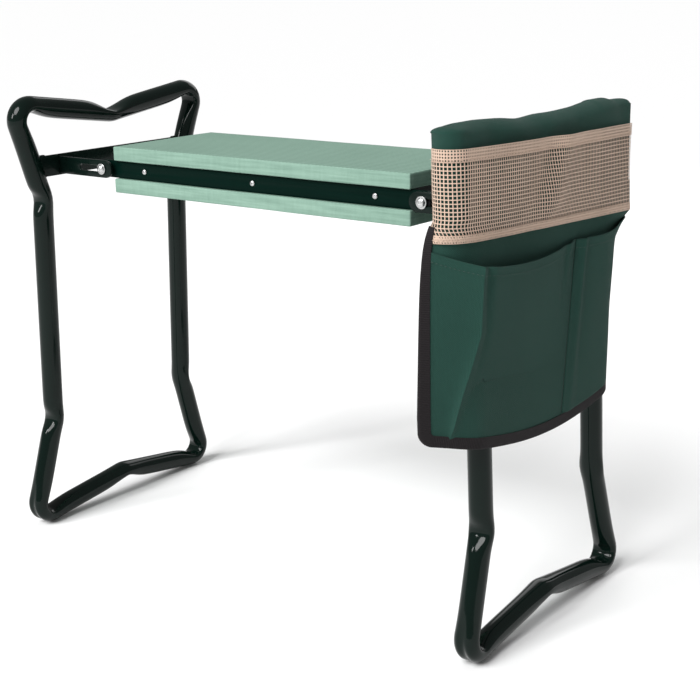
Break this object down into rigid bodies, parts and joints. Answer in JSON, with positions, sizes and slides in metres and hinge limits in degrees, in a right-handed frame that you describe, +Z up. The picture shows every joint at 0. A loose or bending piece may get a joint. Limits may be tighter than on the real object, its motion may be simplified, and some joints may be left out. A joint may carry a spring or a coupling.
{
  "type": "garden kneeler seat",
  "caption": "Folding garden kneeler and seat: foam pads on a steel-railed board, bent tube leg loops at both ends, and a tool pouch with pockets over one loop.",
  "frame": {"origin": "on the ground, under the middle of the whole part's box", "axes": "+X along the seat towards the pouch end, -Y the front (the side facing the viewer), +Z up"},
  "size_m": [0.6108, 0.306, 0.4829],
  "materials": {
    "foam": "soft closed-cell foam, finely textured",
    "board": "dark board, only its ends show",
    "rail": "satin dark green enamel",
    "tube": "glossy very dark green enamel",
    "zinc": "bright zinc plate",
    "nylon": "black nylon",
    "polyester": "coarse woven dark green polyester",
    "mesh_cloth": "beige net",
    "tape": "black ribbed binding tape"
  },
  "bodies": {
    "seat": {"top_pad": "foam", "bottom_pad": "foam", "seat_board": "board", "front_rail": "rail", "rivet_front_1": "zinc", "rivet_front_2": "zinc", "rivet_front_3": "zinc", "back_rail": "rail", "rivet_back_1": "zinc", "rivet_back_2": "zinc", "rivet_back_3": "zinc", "pivot_bolt_right_front": "zinc", "pivot_nut_right_front": "zinc", "pivot_washer_right_front": "nylon", "pivot_bolt_right_back": "zinc", "pivot_nut_right_back": "zinc", "pivot_washer_right_back": "nylon"},
    "left_pivots": {"pivot_bolt_left_front": "zinc", "pivot_nut_left_front": "zinc", "pivot_washer_left_front": "nylon", "pivot_bolt_left_back": "zinc", "pivot_nut_left_back": "zinc", "pivot_washer_left_back": "nylon"},
    "left_legs": {"left_hinge_arm_front": "tube", "left_hinge_arm_back": "tube", "left_leg_loop": "tube", "left_cross_bar": "tube"},
    "right_legs": {"right_hinge_arm_front": "tube", "right_hinge_arm_back": "tube", "right_leg_loop": "tube", "right_cross_bar": "tube", "pouch_panel": "polyester", "pouch_hood": "polyester", "main_pocket": "polyester", "side_pocket": "polyester", "mesh_pocket": "mesh_cloth", "mesh_pocket_hem": "mesh_cloth", "pouch_binding": "tape"}
  },
  "joints": [
    {"name": "left_fold", "type": "hinge", "parent": "seat", "child": "left_pivots", "pos_m": [-0.21121, 0, 0.40423], "axis": [0, -1, 0], "range_deg": [0, 92]},
    {"name": "left_slot_slide", "type": "slide", "parent": "left_pivots", "child": "left_legs", "axis": [1, 0, 0], "range_m": [0, 0.0305]},
    {"name": "right_fold", "type": "hinge", "parent": "seat", "child": "right_legs", "pos_m": [0.19879, 0, 0.40423], "axis": [0, 1, 0], "range_deg": [0, 89]}
  ],
  "couplings": [
    {"joint": "left_slot_slide", "follows": "left_fold", "m_per_rad": 0.0189}
  ]
}
